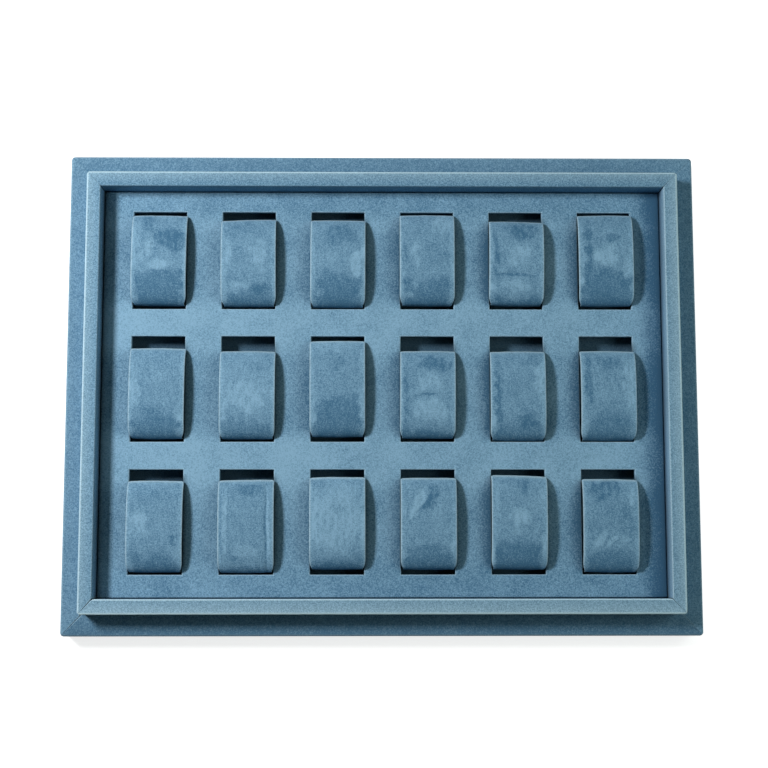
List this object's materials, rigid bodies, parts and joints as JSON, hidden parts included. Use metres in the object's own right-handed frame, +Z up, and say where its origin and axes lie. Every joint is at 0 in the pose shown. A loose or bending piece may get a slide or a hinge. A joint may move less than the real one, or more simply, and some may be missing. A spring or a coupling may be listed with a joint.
{
  "type": "watch display tray",
  "caption": "Low suede-covered display tray with a raised rim, a slotted insert and loose padded C-shaped cuffs that lift out to take watches.",
  "frame": {"origin": "centre of the tray's footprint, on the surface that it stands on", "axes": "+X along the tray's long side, to the right seen from the front; +Y to the back; +Z up"},
  "size_m": [0.373, 0.2842, 0.031],
  "materials": {
    "suede": "microfibre suede, matt, short nap",
    "padded_suede": "microfibre suede over thin foam, brushed nap",
    "lining_suede": "microfibre suede, matt",
    "felt": "thin pressed felt",
    "greyboard": "pressed grey paperboard",
    "fibreboard": "medium density fibreboard",
    "spring_plastic": "springy dark plastic"
  },
  "bodies": {
    "tray": {"base_board": "greyboard", "cross_rib_back": "fibreboard", "cross_rib_front": "fibreboard", "floor_lining": "lining_suede", "insert_board": "greyboard", "insert_suede": "suede", "plinth_rail_back": "fibreboard", "plinth_rail_front": "fibreboard", "plinth_rail_left": "fibreboard", "plinth_rail_right": "fibreboard", "plinth_wrap_back": "suede", "plinth_wrap_front": "suede", "plinth_wrap_left": "suede", "plinth_wrap_right": "suede", "rim_rail_back": "fibreboard", "rim_rail_front": "fibreboard", "rim_rail_left": "fibreboard", "rim_rail_right": "fibreboard", "rim_wrap_back": "suede", "rim_wrap_front": "suede", "rim_wrap_left": "suede", "rim_wrap_right": "suede", "underside_felt": "felt"},
    "cuff_r1c1": {"cuff_pad_r1c1": "padded_suede", "cuff_band_r1c1": "spring_plastic"},
    "cuff_r1c2": {"cuff_pad_r1c2": "padded_suede", "cuff_band_r1c2": "spring_plastic"},
    "cuff_r1c3": {"cuff_pad_r1c3": "padded_suede", "cuff_band_r1c3": "spring_plastic"},
    "cuff_r1c4": {"cuff_pad_r1c4": "padded_suede", "cuff_band_r1c4": "spring_plastic"},
    "cuff_r1c5": {"cuff_pad_r1c5": "padded_suede", "cuff_band_r1c5": "spring_plastic"},
    "cuff_r1c6": {"cuff_pad_r1c6": "padded_suede", "cuff_band_r1c6": "spring_plastic"},
    "cuff_r2c1": {"cuff_pad_r2c1": "padded_suede", "cuff_band_r2c1": "spring_plastic"},
    "cuff_r2c2": {"cuff_pad_r2c2": "padded_suede", "cuff_band_r2c2": "spring_plastic"},
    "cuff_r2c3": {"cuff_pad_r2c3": "padded_suede", "cuff_band_r2c3": "spring_plastic"},
    "cuff_r2c4": {"cuff_pad_r2c4": "padded_suede", "cuff_band_r2c4": "spring_plastic"},
    "cuff_r2c5": {"cuff_pad_r2c5": "padded_suede", "cuff_band_r2c5": "spring_plastic"},
    "cuff_r2c6": {"cuff_pad_r2c6": "padded_suede", "cuff_band_r2c6": "spring_plastic"},
    "cuff_r3c1": {"cuff_pad_r3c1": "padded_suede", "cuff_band_r3c1": "spring_plastic"},
    "cuff_r3c2": {"cuff_pad_r3c2": "padded_suede", "cuff_band_r3c2": "spring_plastic"},
    "cuff_r3c3": {"cuff_pad_r3c3": "padded_suede", "cuff_band_r3c3": "spring_plastic"},
    "cuff_r3c4": {"cuff_pad_r3c4": "padded_suede", "cuff_band_r3c4": "spring_plastic"},
    "cuff_r3c5": {"cuff_pad_r3c5": "padded_suede", "cuff_band_r3c5": "spring_plastic"},
    "cuff_r3c6": {"cuff_pad_r3c6": "padded_suede", "cuff_band_r3c6": "spring_plastic"}
  },
  "joints": [
    {"name": "lift_r1c1", "type": "slide", "parent": "tray", "child": "cuff_r1c1", "axis": [0, 0, 1], "range_m": [0, 0.045]},
    {"name": "lift_r1c2", "type": "slide", "parent": "tray", "child": "cuff_r1c2", "axis": [0, 0, 1], "range_m": [0, 0.045]},
    {"name": "lift_r1c3", "type": "slide", "parent": "tray", "child": "cuff_r1c3", "axis": [0, 0, 1], "range_m": [0, 0.045]},
    {"name": "lift_r1c4", "type": "slide", "parent": "tray", "child": "cuff_r1c4", "axis": [0, 0, 1], "range_m": [0, 0.045]},
    {"name": "lift_r1c5", "type": "slide", "parent": "tray", "child": "cuff_r1c5", "axis": [0, 0, 1], "range_m": [0, 0.045]},
    {"name": "lift_r1c6", "type": "slide", "parent": "tray", "child": "cuff_r1c6", "axis": [0, 0, 1], "range_m": [0, 0.045]},
    {"name": "lift_r2c1", "type": "slide", "parent": "tray", "child": "cuff_r2c1", "axis": [0, 0, 1], "range_m": [0, 0.045]},
    {"name": "lift_r2c2", "type": "slide", "parent": "tray", "child": "cuff_r2c2", "axis": [0, 0, 1], "range_m": [0, 0.045]},
    {"name": "lift_r2c3", "type": "slide", "parent": "tray", "child": "cuff_r2c3", "axis": [0, 0, 1], "range_m": [0, 0.045]},
    {"name": "lift_r2c4", "type": "slide", "parent": "tray", "child": "cuff_r2c4", "axis": [0, 0, 1], "range_m": [0, 0.045]},
    {"name": "lift_r2c5", "type": "slide", "parent": "tray", "child": "cuff_r2c5", "axis": [0, 0, 1], "range_m": [0, 0.045]},
    {"name": "lift_r2c6", "type": "slide", "parent": "tray", "child": "cuff_r2c6", "axis": [0, 0, 1], "range_m": [0, 0.045]},
    {"name": "lift_r3c1", "type": "slide", "parent": "tray", "child": "cuff_r3c1", "axis": [0, 0, 1], "range_m": [0, 0.045]},
    {"name": "lift_r3c2", "type": "slide", "parent": "tray", "child": "cuff_r3c2", "axis": [0, 0, 1], "range_m": [0, 0.045]},
    {"name": "lift_r3c3", "type": "slide", "parent": "tray", "child": "cuff_r3c3", "axis": [0, 0, 1], "range_m": [0, 0.045]},
    {"name": "lift_r3c4", "type": "slide", "parent": "tray", "child": "cuff_r3c4", "axis": [0, 0, 1], "range_m": [0, 0.045]},
    {"name": "lift_r3c5", "type": "slide", "parent": "tray", "child": "cuff_r3c5", "axis": [0, 0, 1], "range_m": [0, 0.045]},
    {"name": "lift_r3c6", "type": "slide", "parent": "tray", "child": "cuff_r3c6", "axis": [0, 0, 1], "range_m": [0, 0.045]}
  ]
}
